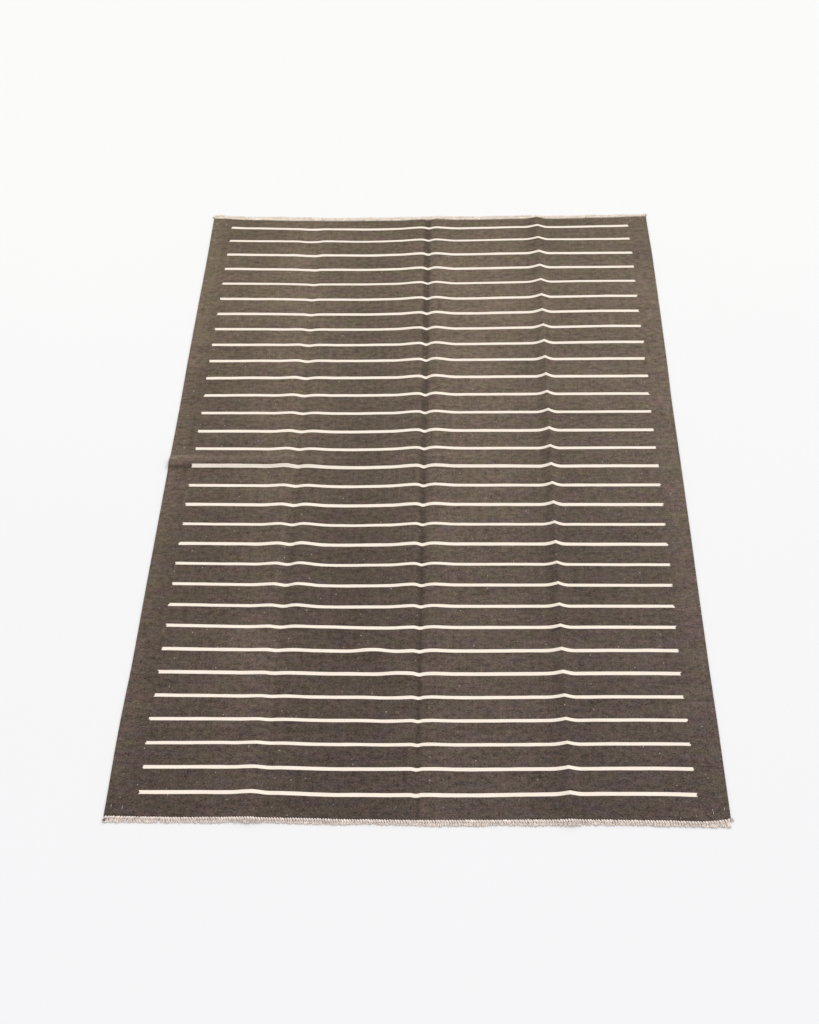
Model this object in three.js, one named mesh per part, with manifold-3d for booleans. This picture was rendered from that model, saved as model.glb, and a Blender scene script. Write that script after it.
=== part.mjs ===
// A flat-woven kilim rug lying on a floor. Its cloth keeps the soft creases of its packing folds,
// and its warp ends are knotted into a short fringe along both ends.
// Millimetres, +Z up. The floor under the rug is z = 0, X runs across it and +Y to its far end.
import * as THREE from 'three';
import { mergeVertices } from 'three/addons/utils/BufferGeometryUtils.js';
import Module from 'manifold-3d';

const wasm = await Module();
wasm.setup();

// Driving dimensions of the cloth
const CLOTH_WIDTH = 2000;
const CLOTH_LENGTH = 3000;
const CLOTH_THICKNESS = 3;
const PIECE_GAP = 0.3;
const HALF_WIDTH = CLOTH_WIDTH / 2;
const HALF_LENGTH = CLOTH_LENGTH / 2;

// How far each end bows out past the plain rectangle, at even steps from the left edge to the right
const END_BOW = {
  far: [17, 3, -6, -10, -11, -8, -9, -6, -8, -3, 4],
  near: [1, 3, 1, 2, 5, 6, 4, 1, -1, 0, 6],
};
// The stretch of cloth at each end that takes up the bow
const END_BOW_REACH = 180;

// One corner is drawn in towards the middle: over this reach from the selvedge, by this much
const DRAWN_CORNER = { end: 'near', side: 1, reach: 120, pull: 15 };

// How far each selvedge lies outside the plain rectangle, at even steps from the far end to the near one,
// and the power by which that fades towards the middle of the cloth
const SELVEDGE_BOW = {
  left: [-1, -3, -2, -2, -4, -3, -3, -3, -4, 0, -3],
  right: [0, 4, 4, 3, 0, 1, 1, 0, 0, 2, 2],
};
const SELVEDGE_FADE = 4;

// Swells and troughs that the packing folds left, a row for each, all lying on a flat floor.
// runs: along the rug's length or across its width. at: where the crest is, before and after: how far
// its two flanks reach. pointed: 0 for a round swell, 1 for a sharp ridge. drift: how far the crest has
// moved by the end of its run. rise: crest heights at even steps, from far to near or from left to right,
// below zero for a trough between two swells.
const CREASES = [
  { name: 'right ridge', runs: 'length', at: 500, before: 48, after: 42, pointed: 1, drift: 0,
    rise: [6, 10, 17, 17, 15.5, 10.5, 9] },
  { name: 'right ridge, foot', runs: 'length', at: 500, before: 66, after: 50, pointed: 0, drift: 0,
    rise: [6, 6, 0, 0, 0, 3.5, 4.5] },
  { name: 'middle fold, left swell', runs: 'length', at: -30, before: 100, after: 52, pointed: 0.2, drift: 8,
    rise: [4, 7.2, 8.3, 7.4, 8.2, 3.8, 0.6] },
  { name: 'middle fold, trough', runs: 'length', at: 1, before: 26, after: 26, pointed: 1, drift: 10,
    rise: [-3.6, -4.2, -4.6, -3.9, -3.8, -1.6, -0.3] },
  { name: 'middle fold, right swell', runs: 'length', at: 41, before: 52, after: 90, pointed: 0.2, drift: 14,
    rise: [5.5, 8, 10.5, 7, 6.3, 1.8, 0.6] },
  { name: 'left fold, outer swell', runs: 'length', at: -540, before: 85, after: 62, pointed: 0.2, drift: 15,
    rise: [0, 1, 6, 7, 7.5, 2.5, 11] },
  { name: 'left fold, trough', runs: 'length', at: -491, before: 26, after: 26, pointed: 1, drift: 14,
    rise: [0, -0.2, -1, -2.4, -3.6, -1, -0.8] },
  { name: 'left fold, inner swell', runs: 'length', at: -448, before: 54, after: 90, pointed: 0.2, drift: 12,
    rise: [0, 0, 4, 5, 11, 2.2, 1.5] },
  { name: 'cross fold', runs: 'width', at: 2, before: 42, after: 52, pointed: 0.3, drift: 0,
    rise: [13, 12, 2, 4, 0, 0] },
];

// How hollow the flanks of a sharp ridge are, 1 being straight
const RIDGE_POWER = 1.9;

// The near end lies flatter: over this reach from its edge the creases sink by this share
const NEAR_SETTLE = { reach: 85, share: 0.5 };

// Small blisters of slack cloth, in a slanting row
const BLISTERS = [
  { x: -320, y: -768, reachX: 150, reachY: 60, rise: 6 },
  { x: -150, y: -867, reachX: 90, reachY: 60, rise: 11 },
  { x: -70, y: -960, reachX: 90, reachY: 55, rise: 9 },
];

// Steps of the cloth's mesh between the creases, and the closest that two of its lines may lie
const STEP_ACROSS = 150;
const STEP_ALONG = 95;
const CLOSEST_STEP = 13;

// Fringe: a narrow knotted strip beside the cloth's edge, with a lock of yarn at each step.
// Each lock has three sections: its root in the strip, its knot, and its cut tail.
const LOCKS_PER_END = 140;
const STRIP = { depth: 4, thickness: 3.4 };
const LOCK_SECTIONS = [
  { name: 'root', out: 2.3, width: 5, thickness: 1.6 },
  { name: 'knot', out: 7.5, width: 9, thickness: 5 },
  { name: 'tail', out: 22, width: 6, thickness: 2.2 },
];
const FRINGE_LENGTH = LOCK_SECTIONS.at(-1).out;
// The far tails were cut longer than the near ones by this much
const FAR_TAILS_LONGER = 9;
// How far a knot sits to one side of its root, and how far a tail leans and differs in length
const KNOT_SLANT = 1.6;
const TAIL_LEAN = 2.4;
const TAIL_UNEVENNESS = 3;
// The last lock at each corner splays out sideways
const CORNER_SPLAY = 6;
// A tail over a crease comes down towards the floor by this share
const TAIL_DROOP = 0.6;

const WOOL = { color: 0x5d5148, roughness: 0.95, metalness: 0 };
const WARP_YARN = { color: 0xd2c3b6, roughness: 0.95, metalness: 0 };

// A smooth run through evenly spaced values, for t from 0 to 1.
function smoothRun(values, t) {
  const last = values.length - 1;
  const place = THREE.MathUtils.clamp(t, 0, 1) * last;
  const index = Math.min(Math.floor(place), last - 1);
  const blend = THREE.MathUtils.smoothstep(place - index, 0, 1);
  return THREE.MathUtils.lerp(values[index], values[index + 1], blend);
}

// A swell's section: 1 at the crest and 0 from the foot outwards.
function swell(offset, before, after, pointed) {
  const reach = offset < 0 ? before : after;
  const away = Math.min(Math.abs(offset) / reach, 1);
  const round = Math.cos((away * Math.PI) / 2) ** 2;
  const sharp = (1 - away) ** RIDGE_POWER;
  return THREE.MathUtils.lerp(round, sharp, pointed);
}

// How high the cloth's underside stands above the floor.
function clothHeight(x, y) {
  const acrossRun = (x + HALF_WIDTH) / CLOTH_WIDTH;
  const lengthRun = (HALF_LENGTH - y) / CLOTH_LENGTH;
  let height = 0;
  for (const crease of CREASES) {
    const lengthwise = crease.runs === 'length';
    const run = lengthwise ? lengthRun : acrossRun;
    const offset = (lengthwise ? x : y) - crease.at - crease.drift * run;
    height += smoothRun(crease.rise, run) * swell(offset, crease.before, crease.after, crease.pointed);
  }
  for (const blister of BLISTERS) {
    const shareX = swell(x - blister.x, blister.reachX, blister.reachX, 0);
    const shareY = swell(y - blister.y, blister.reachY, blister.reachY, 0);
    height += blister.rise * shareX * shareY;
  }
  const settle = THREE.MathUtils.smoothstep(-y, HALF_LENGTH - NEAR_SETTLE.reach, HALF_LENGTH);
  return Math.max(height, 0) * (1 - NEAR_SETTLE.share * settle);
}

// How far the cloth's edge is drawn in at x on an end, which is nothing but near the drawn corner.
function drawnIn(x, end) {
  if (end !== DRAWN_CORNER.end || Math.sign(x) !== DRAWN_CORNER.side) return 0;
  const share = Math.max(0, 1 - (HALF_WIDTH - Math.abs(x)) / DRAWN_CORNER.reach);
  return DRAWN_CORNER.pull * share ** 2;
}

// Where a point of the plain rectangle lies once its ends and selvedges bow.
function layOut(x, y) {
  const end = y > 0 ? 'far' : 'near';
  const side = Math.sign(x);
  const atEnd = THREE.MathUtils.smoothstep(Math.abs(y), HALF_LENGTH - END_BOW_REACH, HALF_LENGTH);
  const endBow = smoothRun(END_BOW[end], (x + HALF_WIDTH) / CLOTH_WIDTH) - drawnIn(x, end);
  const atSelvedge = (x / HALF_WIDTH) ** SELVEDGE_FADE;
  const sideBow = smoothRun(SELVEDGE_BOW[side > 0 ? 'right' : 'left'], (HALF_LENGTH - y) / CLOTH_LENGTH);
  return { x: x + side * sideBow * atSelvedge, y: y + Math.sign(y) * endBow * atEnd };
}

// Sorted mesh lines from -half to half: the edges and other lines that must be there, then each crease's
// crest, its feet and the middle of its flanks as far as there is room, and plain steps in between.
function meshLines(half, step, runs, fixed) {
  const creases = CREASES.filter((crease) => crease.runs === runs);
  const crestOf = (crease) => crease.at + crease.drift / 2;
  const wanted = [
    ...creases.map(crestOf),
    ...creases.flatMap((crease) => [crestOf(crease) - crease.before, crestOf(crease) + crease.after]),
    ...creases.flatMap((crease) => [crestOf(crease) - crease.before / 2, crestOf(crease) + crease.after / 2]),
  ];
  const count = Math.round((2 * half) / step);
  const plain = Array.from({ length: count + 1 }, (_, i) => -half + (2 * half * i) / count);
  const lines = [-half, half, ...fixed];
  const addIfRoom = (line, room) => {
    if (lines.every((other) => Math.abs(other - line) > room)) lines.push(line);
  };
  wanted.forEach((line) => addIfRoom(line, CLOSEST_STEP));
  plain.forEach((line) => addIfRoom(line, step / 3));
  return lines.sort((a, b) => a - b);
}

const LINES_ACROSS = meshLines(HALF_WIDTH, STEP_ACROSS, 'length', [
  ...BLISTERS.map((blister) => blister.x),
  DRAWN_CORNER.side * (HALF_WIDTH - DRAWN_CORNER.reach),
  DRAWN_CORNER.side * (HALF_WIDTH - DRAWN_CORNER.reach / 2),
]);
const LINES_ALONG = meshLines(HALF_LENGTH, STEP_ALONG, 'width', BLISTERS.map((blister) => blister.y));

// A closed box whose grid of points is moved by place(column, row, level); level is 0 below and 1 on top.
function shapedBox(columns, rows, place) {
  const box = new THREE.BoxGeometry(1, 1, 1, columns, rows, 1);
  const points = box.attributes.position;
  for (let i = 0; i < points.count; i += 1) {
    const column = Math.round((points.getX(i) + 0.5) * columns);
    const row = Math.round((points.getY(i) + 0.5) * rows);
    const moved = place(column, row, points.getZ(i) > 0 ? 1 : 0);
    points.setXYZ(i, moved.x, moved.y, moved.z);
  }
  box.deleteAttribute('normal');
  box.deleteAttribute('uv');
  return mergeVertices(box, 1e-6);
}

// A repeatable scatter from -1 to 1 for lock number k.
function scatter(k, seed) {
  const value = Math.sin(k * 12.9898 + seed * 78.233) * 43758.5453;
  return 2 * (value - Math.floor(value)) - 1;
}

// The woven cloth: one thin sheet over its creases.
function clothGeometry() {
  return shapedBox(LINES_ACROSS.length - 1, LINES_ALONG.length - 1, (column, row, level) => {
    const x = LINES_ACROSS[column];
    const y = LINES_ALONG[row];
    const laid = layOut(x, y);
    return { x: laid.x, y: laid.y, z: clothHeight(x, y) + level * CLOTH_THICKNESS };
  });
}

// A point of an end's fringe, so far out from the cloth's edge at x. The edge runs straight between
// the cloth's mesh lines, so the strip follows those lines and keeps its gap.
function fringePoint(side, x, out, thickness) {
  const edge = layOut(x, side * HALF_LENGTH);
  const share = THREE.MathUtils.clamp(out / FRINGE_LENGTH, 0, 1);
  const base = clothHeight(x, side * HALF_LENGTH) * (1 - TAIL_DROOP * share);
  return { x: edge.x, y: edge.y + side * out, z: base + thickness };
}

// The strip of knotting that the locks grow from.
function stripGeometry(side) {
  return shapedBox(LINES_ACROSS.length - 1, 1, (column, row, level) => {
    const outer = side > 0 ? row : 1 - row;
    const out = PIECE_GAP + outer * STRIP.depth;
    return fringePoint(side, LINES_ACROSS[column], out, level * STRIP.thickness);
  });
}

// One four-sided lock, from its root in the strip through its knot to its cut tail.
function lockGeometry(side, k) {
  const pitch = CLOTH_WIDTH / LOCKS_PER_END;
  const x = -HALF_WIDTH + (k + 0.5) * pitch;
  const corner = k === 0 ? -1 : Number(k === LOCKS_PER_END - 1);
  const lean = corner === 0 ? TAIL_LEAN * scatter(k, side) : corner * CORNER_SPLAY;
  const level = side > 0 ? FAR_TAILS_LONGER : drawnIn(x, 'near');
  const longer = TAIL_UNEVENNESS * scatter(k, side + 2) + level;
  const shift = { root: 0, knot: -side * KNOT_SLANT, tail: lean };
  const extra = { root: 0, knot: 0, tail: longer };
  return shapedBox(1, LOCK_SECTIONS.length - 1, (column, row, level) => {
    const section = LOCK_SECTIONS[side > 0 ? row : LOCK_SECTIONS.length - 1 - row];
    const out = section.out + extra[section.name];
    const point = fringePoint(side, x, out, level * section.thickness);
    return { ...point, x: point.x + shift[section.name] + (column - 0.5) * section.width };
  });
}

// A closed geometry as a solid that can be joined, and back again.
function toSolid(geometry) {
  return new wasm.Manifold(new wasm.Mesh({
    numProp: 3,
    vertProperties: new Float32Array(geometry.attributes.position.array),
    triVerts: new Uint32Array(geometry.index.array),
  }));
}

function toGeometry(solid) {
  const mesh = solid.getMesh();
  const geometry = new THREE.BufferGeometry();
  geometry.setAttribute('position', new THREE.BufferAttribute(mesh.vertProperties, 3));
  geometry.setIndex(new THREE.BufferAttribute(mesh.triVerts, 1));
  return geometry;
}

// A whole end: the strip with every lock's root fused into it.
function fringeGeometry(side) {
  let fringe = toSolid(stripGeometry(side));
  for (let k = 0; k < LOCKS_PER_END; k += 1) {
    fringe = fringe.add(toSolid(lockGeometry(side, k)));
  }
  return toGeometry(fringe);
}

function namedMesh(name, geometry, finish) {
  geometry.computeVertexNormals();
  const mesh = new THREE.Mesh(geometry, new THREE.MeshStandardMaterial(finish));
  mesh.name = name;
  return mesh;
}

const rug = new THREE.Group();
rug.add(namedMesh('kilim_cloth', clothGeometry(), WOOL));
rug.add(namedMesh('fringe_far', fringeGeometry(1), WARP_YARN));
rug.add(namedMesh('fringe_near', fringeGeometry(-1), WARP_YARN));

export default rug;
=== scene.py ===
import math

import bpy
import numpy as np
from mathutils import Matrix, Vector


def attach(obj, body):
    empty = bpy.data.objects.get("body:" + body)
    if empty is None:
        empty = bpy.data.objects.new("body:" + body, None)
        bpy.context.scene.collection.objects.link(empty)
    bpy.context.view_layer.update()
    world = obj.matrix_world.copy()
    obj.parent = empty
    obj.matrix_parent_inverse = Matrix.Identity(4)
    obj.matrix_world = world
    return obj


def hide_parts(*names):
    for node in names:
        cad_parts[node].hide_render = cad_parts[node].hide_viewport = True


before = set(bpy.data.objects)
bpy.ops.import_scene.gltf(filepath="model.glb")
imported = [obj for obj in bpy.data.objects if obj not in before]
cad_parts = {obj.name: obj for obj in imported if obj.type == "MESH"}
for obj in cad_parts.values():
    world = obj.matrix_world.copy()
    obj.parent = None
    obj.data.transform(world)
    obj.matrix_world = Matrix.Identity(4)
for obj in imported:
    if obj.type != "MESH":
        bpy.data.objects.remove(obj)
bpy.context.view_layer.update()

# A flat-woven kilim rug lying on a pale floor. Sizes are millimetres unless a name says otherwise, in the
# rug's own frame: X across it, +Y to its far end, +Z up from the floor that it lies on.
MM = 0.001

# Cloth
CLOTH_WIDTH = 2000.0
CLOTH_LENGTH = 3000.0
CLOTH_THICKNESS = 3.0
HALF_WIDTH = CLOTH_WIDTH / 2
HALF_LENGTH = CLOTH_LENGTH / 2

# How far each end bows out past the plain rectangle, at even steps from the left edge to the right
END_BOW = {
    "far": (17, 3, -6, -10, -11, -8, -9, -6, -8, -3, 4),
    "near": (1, 3, 1, 2, 5, 6, 4, 1, -1, 0, 6),
}
END_BOW_REACH = 180.0
# The near right corner is drawn in: over this reach from the selvedge, by this much
DRAWN_CORNER = dict(reach=120.0, pull=15.0)
# How far each selvedge lies outside the plain rectangle, at even steps from the far end to the near one
SELVEDGE_BOW = {
    "left": (-1, -3, -2, -2, -4, -3, -3, -3, -4, 0, -3),
    "right": (0, 4, 4, 3, 0, 1, 1, 0, 0, 2, 2),
}
SELVEDGE_FADE = 4

# Swells and troughs left by the packing folds, a row for each. at: the crest, before and after: the reach of
# its two flanks, pointed: 0 for a round swell and 1 for a sharp ridge, drift: how far the crest has moved by
# the end of its run, rise: crest heights at even steps from far to near, or from left to right.
CREASES = (
    # Right ridge
    dict(runs="length", at=500, before=48, after=42, pointed=1.0, drift=0,
         rise=(6, 10, 17, 17, 15.5, 10.5, 9)),
    # Right ridge, foot
    dict(runs="length", at=500, before=66, after=50, pointed=0.0, drift=0,
         rise=(6, 6, 0, 0, 0, 3.5, 4.5)),
    # Middle fold, left swell
    dict(runs="length", at=-30, before=100, after=52, pointed=0.2, drift=8,
         rise=(4, 7.2, 8.3, 7.4, 8.2, 3.8, 0.6)),
    # Middle fold, trough
    dict(runs="length", at=1, before=26, after=26, pointed=1.0, drift=10,
         rise=(-3.6, -4.2, -4.6, -3.9, -3.8, -1.6, -0.3)),
    # Middle fold, right swell
    dict(runs="length", at=41, before=52, after=90, pointed=0.2, drift=14,
         rise=(5.5, 8, 10.5, 7, 6.3, 1.8, 0.6)),
    # Left fold, outer swell
    dict(runs="length", at=-540, before=85, after=62, pointed=0.2, drift=15,
         rise=(0, 1, 6, 7, 7.5, 2.5, 11)),
    # Left fold, trough
    dict(runs="length", at=-491, before=26, after=26, pointed=1.0, drift=14,
         rise=(0, -0.2, -1, -2.4, -3.6, -1, -0.8)),
    # Left fold, inner swell
    dict(runs="length", at=-448, before=54, after=90, pointed=0.2, drift=12,
         rise=(0, 0, 4, 5, 11, 2.2, 1.5)),
    # Cross fold
    dict(runs="width", at=2, before=42, after=52, pointed=0.3, drift=0,
         rise=(13, 12, 2, 4, 0, 0)),
)
# How hollow the flanks of a sharp ridge are, 1 being straight
RIDGE_POWER = 1.9
# The near end lies flatter: over this reach from its edge the creases sink by this share
NEAR_SETTLE = dict(reach=85.0, share=0.5)
# Small blisters of slack cloth, in a slanting row
BLISTERS = (
    dict(x=-320, y=-768, reach_x=150, reach_y=60, rise=6),
    dict(x=-150, y=-867, reach_x=90, reach_y=60, rise=11),
    dict(x=-70, y=-960, reach_x=90, reach_y=55, rise=9),
)

# Places where the weft was beaten down unevenly, so that the stripes sag towards the near end
WEFT_SAGS = (
    dict(at=-480, before=220, after=170, sag=(0, 5, 5, 3, 1, 1, 1.5)),
    dict(at=-270, before=240, after=240, sag=(7, 8, 4, 7, 6, 4, 6)),
    dict(at=140, before=210, after=320, sag=(5, 5, 1, -1, 0, 3, 4)),
    dict(at=800, before=450, after=400, sag=(4, 3, -5, -7, 0, -0.5, -1.5, 1, 1.5, -2, -3.5, -5, -4)),
    dict(at=-60, before=170, after=130, sag=(0, 3, 2, 1, 3, 6, 4)),
    dict(at=6, before=22, after=20, sag=(2.5, 2.5, 3, 2.5, 2, 3, 3)),
    dict(at=-535, before=75, after=75, sag=(8, 2, 0, 0, 0, 0, 0)),
    dict(at=-500, before=34, after=30, sag=(1, 3.5, 2.5, 1.5, 2, 2, 0)),
    dict(at=-1000, before=20, after=420, sag=(-2, -9, -5, -3, 2, -1, -2, -3, -4, -6, -2, 3, 2)),
)
# The sag fades out between these distances from each end
SAG_FADE = dict(starts=90.0, ends=5.0)

# Ivory stripes, counted from the far end: how far the first lies from the plain far edge, then runs of
# stripes with the spacing that the weaver kept in each run
FIRST_STRIPE = 58.0
STRIPE_RUNS = (
    dict(gaps=1, pitch=91.0),
    dict(gaps=3, pitch=97.5),
    dict(gaps=1, pitch=100.0),
    dict(gaps=4, pitch=95.9),
    dict(gaps=4, pitch=100.5),
    dict(gaps=2, pitch=94.5),
    dict(gaps=3, pitch=96.0),
    dict(gaps=4, pitch=93.5),
    dict(gaps=1, pitch=90.0),
    dict(gaps=1, pitch=98.0),
    dict(gaps=2, pitch=93.5),
    dict(gaps=4, pitch=90.0),
)
STRIPE_PITCH = 95.0
STRIPE_HALF_WIDTH = 6.7
# Where the stripes end at each side, at even steps from the far end to the near one, and how far each strays
STRIPE_ENDS = {
    "left": (-910, -910, -908, -905, -905, -902, -896),
    "right": (912, 912, 914, 913, 909, 900, 904),
}
STRIPE_STRAY = 1.6

# Tone of the cloth along its length, at even steps from far to near: the far half is paler, partly the
# cloth's own tone and partly painted sheen of the wool seen at a low angle
LENGTH_TONES = (1.18, 1.25, 1.13, 1.03, 0.84, 0.80, 0.71)
# Tone of the cloth across its width, a row for each fold panel and border: partly the nap's own tone and
# partly painted light and shade, paler on panels that tilt towards the light and darker on those that tilt
# away
PANEL_TONES = (
    dict(x=-1000, tone=1.16),
    dict(x=-900, tone=0.94),
    dict(x=-780, tone=0.94),
    dict(x=-560, tone=1.12),
    dict(x=-400, tone=0.92),
    dict(x=-230, tone=0.86),
    dict(x=-20, tone=0.97),
    dict(x=30, tone=1.08),
    dict(x=110, tone=1.13),
    dict(x=290, tone=1.12),
    dict(x=490, tone=0.96),
    dict(x=820, tone=1.04),
    dict(x=1000, tone=1.18),
)
# Soft spots where the cloth is paler or darker from wear and from its dye: place, reach each way, and how
# much paler each is, below zero where it is darker
WEAR_SPOTS = (
    dict(x=-300, y=1400, reach_x=260, reach_y=170, paler=0.17),
    dict(x=140, y=1420, reach_x=250, reach_y=160, paler=-0.14),
    dict(x=560, y=1400, reach_x=330, reach_y=180, paler=-0.09),
    dict(x=970, y=1330, reach_x=150, reach_y=330, paler=-0.14),
    dict(x=450, y=860, reach_x=260, reach_y=190, paler=0.17),
    dict(x=110, y=600, reach_x=240, reach_y=190, paler=0.10),
    dict(x=620, y=430, reach_x=330, reach_y=240, paler=0.08),
    dict(x=-880, y=360, reach_x=260, reach_y=220, paler=-0.11),
    dict(x=150, y=-370, reach_x=430, reach_y=180, paler=0.09),
    dict(x=-650, y=-870, reach_x=520, reach_y=170, paler=0.13),
    dict(x=550, y=-870, reach_x=260, reach_y=170, paler=0.09),
    dict(x=970, y=-480, reach_x=80, reach_y=720, paler=0.10),
    dict(x=-1000, y=-1480, reach_x=130, reach_y=190, paler=-0.17),
)
# Lines along the folds, a row for each as for the creases: darker along the middle and left folds' troughs
# and on the left flank of the right ridge, partly wear and partly painted shade in the hollows; across the
# rug a painted highlight on the cross fold's far flank, which faces the light, and painted shade on its near
# flank. width is half the line's, darker is how much darker it is at even steps along its run, below zero
# where it is paler
FOLD_WEAR_AND_SHADE = (
    # Middle fold: wear and painted shade along its trough
    dict(runs="length", at=-3, drift=14, width=15, darker=(0.37, 0.45, 0.36, 0.31, 0.28, 0.12, 0.04)),
    dict(runs="length", at=-1, drift=12, width=6, darker=(0.0, 0.0, 0.0, 0.04, 0.16, 0.26, 0.06)),
    dict(runs="length", at=-491, drift=14, width=11, darker=(0.0, 0.0, 0.04, 0.06, 0.12, 0.10, 0.10)),
    dict(runs="length", at=476, drift=0, width=11, darker=(0.10, 0.04, 0.04, 0.05, 0.06, 0.04, 0.02)),
    # Painted highlight on the cross fold's far flank, which faces the light
    dict(runs="width", at=30, drift=14, width=12,
         darker=(-0.36, -0.22, -0.20, -0.08, 0.0, -0.06, -0.08, 0.0, 0.0, 0.0, 0.0)),
    # Painted shade on the cross fold's near flank, turned away from the light
    dict(runs="width", at=-20, drift=-8, width=7,
         darker=(0.26, 0.20, 0.14, 0.05, 0.0, 0.06, 0.05, 0.0, 0.0, 0.0, 0.0)),
)

# Mesh of the cloth: how much closer its lines lie at the edges and on the creases, and over what reach
COLUMNS = 198
ROWS = 242
SPACING_STEPS = 6001
EDGE_CROWDING = dict(columns=6.0, column_reach=12.0, rows=4.0, row_reach=14.0)
CREASE_CROWDING = dict(columns=1.6, margin=10.0, rows=1.5, row_at=20.0, row_reach=60.0)
PUCKER = 0.35
SELVEDGE_CORD = dict(rise=0.9, at=4.0, width=3.0)
RIM_BULGE = 0.8
# A grid point this close to the plain rectangle's edge is on it
ON_EDGE = 1e-6

# Fringe: a row of slanted knots along each end, and the cut strands of yarn beyond them
KNOT_PITCH = 8.6
KNOT_REACH = 10.0
KNOT_RADIUS = 3.7
KNOT_SLANT = 3.4
KNOT_SIDES = 8
KNOT_STEPS = 7
# The slant comes and goes in a slow wave, turns the other way left of this line, and is less at the corners
SLANT_TURNS = -820.0
SLANT_WAVE = dict(size=0.8, length=160.0)
CORNER_SLANT = dict(reach=8.0, share=0.3)
# A knot's path starts this share of its end's radius past the gap, bows up by the arch, and sinks by this
# share of the cloth's lift at its outer end
KNOT_START = 0.4
KNOT_ARCH = 0.5
KNOT_SINK = 0.2
# Section of a knot along its path: share of the full radius that it never falls below, how much of the half
# wave is cut off at each end, and how blunt it is
KNOT_SECTION = dict(least=0.35, cut=0.03, blunt=0.6)
# How much one knot differs from the next by chance
KNOT_CHANCE = dict(place=0.35, slant=0.6, reach=0.7, size=0.08, shade=0.08)
STRANDS_PER_KNOT = 12
STRAND_RADIUS = 0.8
STRAND_SIDES = 4
STRAND_STEPS = 5
# How far the cut ends reach past the cloth's edge, at even steps from left to right
FRINGE_REACH = {
    "far": (30, 31, 34, 30, 30, 30, 31, 31, 31, 29, 29, 25, 23),
    "near": (21.5, 22.5, 21.5, 20, 22, 19, 21, 23, 22, 22, 21, 21, 20),
}
FRINGE_UNEVEN = 3.2
SHORTEST_STRAND = 6.0
# Slow waves of the cut line, how wide the strands of a knot fan out at their roots and further on, and the
# share of the knot's slant that they keep
CUT_WAVE_LENGTHS = (57.0, 23.0)
FAN_WIDTH = dict(root=1.9, further=1.8)
LEAN_SHARE = 0.5
# The strands start at this step of the knot's path, and this far back under it
ROOT_STEP = -3
ROOT_BACK = 1.0
# Heights of the strands: at their roots, of their layers on the floor, and the gap under the lowest
ROOT_LIFT = 1.6
LAYER_HEIGHT = 2.6
FLOOR_GAP = 0.05
# Shares that a strand loses by its cut end: of its radius, of its layer's height, and of the cloth's lift
STRAND_FALL = dict(radius=0.35, layer=0.7, ground=0.5)
# How much one strand differs from the next by chance, and one knot's strands from the next knot's
STRAND_CHANCE = dict(fan=0.25, lean=1.3, bend=1.0, size=0.12, shade=0.05)
SPRAY_CHANCE = dict(lean=0.8, length=0.8, shade=0.05)
TUFT_CHANCE = dict(turn=16.0, across=1.2, along=1.6, shade=0.08)
# Strands of a tuft: radius at the root, the shares of it and of the height lost by the end, the shortest as a
# share of the longest, the least and the most of the tuft's share of brown, and the shade
TUFT_STRAND = dict(radius=0.88, taper=0.4, fall=0.5, shortest=0.6, brown=(0.4, 1.1), shade=0.95)
# Painted light: at each end the knots and strands are made paler or darker than their yarn, standing in for
# how the light falls on them there
KNOT_PAINTED_LIGHT = {"far": 1.10, "near": 0.94}
STRAND_PAINTED_LIGHT = {"far": 0.99, "near": 1.15}
# Where each end's chances start from, so that every run gives the same fringe
FRINGE_SEEDS = {"far": 11, "near": 23}
# The knots stop this far short of each corner, and start this far off the cloth's edge
FRINGE_INSET = 3.0
PIECE_GAP = 0.3
# Loose ends of yarn at the corners: corner is -1 left and 1 right, start is how far out from the edge they
# begin, inset how far in from the corner, lift how high they lie at their roots, turn is how far they point
# outwards in degrees, brown is how much of the tuft is brown weft
CORNER_TUFTS = (
    dict(end="near", corner=-1, strands=30, start=9, inset=9, lift=5, reach=13, turn=48, brown=0.9),
    dict(end="near", corner=1, strands=18, start=3, inset=3, lift=1, reach=14, turn=78, brown=0.5),
    dict(end="far", corner=-1, strands=26, start=6, inset=2, lift=1, reach=16, turn=22, brown=0.25),
    dict(end="far", corner=1, strands=22, start=6, inset=4, lift=1, reach=18, turn=24, brown=0.4),
)

# Short pale ends of thread on the cloth near its corners: how far in from the plain end and from the
# middle line they lie, and how long they are
STITCHES = (
    dict(end="near", x=-981, inward=34, length=10),
    dict(end="near", x=-944, inward=30, length=11),
    dict(end="near", x=948, inward=26, length=11),
    dict(end="near", x=984, inward=35, length=10),
    dict(end="far", x=-982, inward=38, length=12),
    dict(end="far", x=-937, inward=40, length=12),
    dict(end="far", x=927, inward=26, length=10),
    dict(end="far", x=983, inward=26, length=12),
)
# The thread of all of them: its radius, how far it sways, how high it lies above the cloth, and its shade
STITCH_THREAD = dict(radius=1.0, sway=1.0, lift=0.4, shade=0.62)

# Camera at the photograph's place: position, angles in degrees, and lens in mm on a 36 mm long side
CAMERA = dict(place=(155, -3373, 3856), pitch=50.866, yaw=-3.642, roll=-2.868, lens=46.09, sensor=36.0)

# Light: strength of the even surroundings, and of one soft light that spreads over this many degrees
SURROUNDINGS = 0.84
KEY_LIGHT = dict(comes_from=(0.35, 0.72, 0.60), power=2.1, spread=50)


# Shape formulas

def smooth_run(values, t):
    """A smooth run through evenly spaced values, for t from 0 to 1: each pair is joined by a smooth step."""
    values = np.asarray(values, float)
    place = np.clip(t, 0, 1) * (len(values) - 1)
    index = np.minimum(place.astype(int), len(values) - 2)
    u = place - index
    blend = u * u * (3 - 2 * u)
    return values[index] * (1 - blend) + values[index + 1] * blend


def smooth_step(value, low, high):
    """0 below low, 1 above high, and a smooth rise between them."""
    u = np.clip((value - low) / (high - low), 0, 1)
    return u * u * (3 - 2 * u)


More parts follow.
